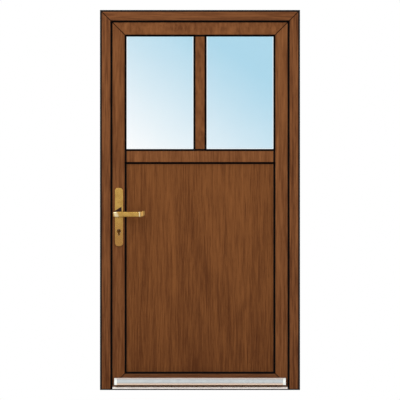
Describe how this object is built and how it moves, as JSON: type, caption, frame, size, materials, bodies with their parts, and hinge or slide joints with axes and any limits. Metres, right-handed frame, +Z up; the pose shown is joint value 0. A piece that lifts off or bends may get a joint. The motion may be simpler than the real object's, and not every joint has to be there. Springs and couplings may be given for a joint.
{
  "type": "entrance door",
  "caption": "Wood-foiled plastic entrance door in its frame, with glazed lights over a solid panel, a long-plate lever handle, mortice lock, weather bar and threshold.",
  "frame": {"origin": "on the floor, at the middle of the frame's width and depth", "axes": "+Z up, +X to the right seen from outside, +Y into the house"},
  "size_m": [1.1, 0.199, 2.09],
  "materials": {
    "frame_foil": "wood-grain foil on plastic",
    "leaf_foil": "wood-grain foil on plastic",
    "panel_foil": "wood-grain foil on plastic",
    "bead_foil": "wood-grain foil on plastic",
    "galvanised_steel": "zinc coated",
    "glass": "clear",
    "spacer_aluminium": "mill",
    "seal_rubber": "matt",
    "brush": "bristle",
    "threshold_aluminium": "anodised",
    "bar_aluminium": "satin anodised",
    "cap_plastic": "satin",
    "hinge_coating": "powder coated",
    "screw_steel": "zinc plated",
    "keep_zinc": "satin zinc",
    "lock_steel": "satin",
    "handle_brass": "polished",
    "cylinder_brass": "satin"
  },
  "bodies": {
    "frame": {"frame_head": "frame_foil", "frame_jamb_hinge": "frame_foil", "frame_jamb_lock": "frame_foil", "frame_seal": "seal_rubber", "frame_steels": "galvanised_steel", "hinge_frame_half_bottom": "hinge_coating", "hinge_frame_half_middle": "hinge_coating", "hinge_frame_half_top": "hinge_coating", "hinge_pins": "screw_steel", "hinge_screws_frame": "screw_steel", "strike_keep": "keep_zinc", "strike_keep_screws": "screw_steel", "threshold": "threshold_aluminium"},
    "lever": {"lever_outer": "handle_brass", "lever_inner": "handle_brass", "spindle": "lock_steel", "lock_follower": "lock_steel"},
    "latch": {"latch_bolt": "lock_steel"},
    "deadbolt": {"deadbolt": "lock_steel"},
    "key_core": {"cylinder_plugs": "cylinder_brass", "cylinder_cam": "cylinder_brass"},
    "leaf": {"bead_gasket_left": "seal_rubber", "bead_gasket_panel": "seal_rubber", "bead_gasket_right": "seal_rubber", "bottom_seal": "brush", "cylinder_body": "cylinder_brass", "glass_left_inner_pane": "glass", "glass_left_outer_pane": "glass", "glass_left_spacer": "spacer_aluminium", "glass_right_inner_pane": "glass", "glass_right_outer_pane": "glass", "glass_right_spacer": "spacer_aluminium", "glazing_beads_left": "bead_foil", "glazing_beads_panel": "bead_foil", "glazing_beads_right": "bead_foil", "glazing_gasket_left": "seal_rubber", "glazing_gasket_panel": "seal_rubber", "glazing_gasket_right": "seal_rubber", "handle_plate_inner": "handle_brass", "handle_plate_outer": "handle_brass", "handle_screws": "handle_brass", "hinge_leaf_half_bottom": "hinge_coating", "hinge_leaf_half_middle": "hinge_coating", "hinge_leaf_half_top": "hinge_coating", "hinge_screws_leaf": "screw_steel", "infill_panel": "panel_foil", "leaf_mullion": "leaf_foil", "leaf_rail_bottom": "leaf_foil", "leaf_rail_top": "leaf_foil", "leaf_seal": "seal_rubber", "leaf_steels": "galvanised_steel", "leaf_stile_hinge": "leaf_foil", "leaf_stile_lock": "leaf_foil", "leaf_transom": "leaf_foil", "lock_case": "lock_steel", "lock_faceplate": "lock_steel", "lock_screws": "screw_steel", "weather_bar": "bar_aluminium", "weather_bar_caps": "cap_plastic"}
  },
  "joints": [
    {"name": "leaf_swing", "type": "hinge", "parent": "frame", "child": "leaf", "pos_m": [0.529, 0.065, 1.045], "axis": [0, 0, -1], "range_deg": [0, 100]},
    {"name": "lever_turn", "type": "hinge", "parent": "leaf", "child": "lever", "pos_m": [-0.446, 0.018, 0.966], "axis": [0, 1, 0], "range_deg": [0, 40], "stiffness_Nm_per_rad": 2, "springref_deg": -20.05},
    {"name": "latch_slide", "type": "slide", "parent": "leaf", "child": "latch", "axis": [1, 0, 0], "range_m": [0, 0.0125]},
    {"name": "key_turn", "type": "hinge", "parent": "leaf", "child": "key_core", "pos_m": [-0.446, 0.018, 0.874], "axis": [0, 1, 0], "range_deg": [0, 360]},
    {"name": "deadbolt_slide", "type": "slide", "parent": "leaf", "child": "deadbolt", "axis": [-1, 0, 0], "range_m": [0, 0.02]}
  ],
  "couplings": [
    {"joint": "latch_slide", "follows": "lever_turn", "m_per_rad": 0.017762},
    {"joint": "key_turn", "follows": "deadbolt_slide", "rad_per_m": 314}
  ]
}
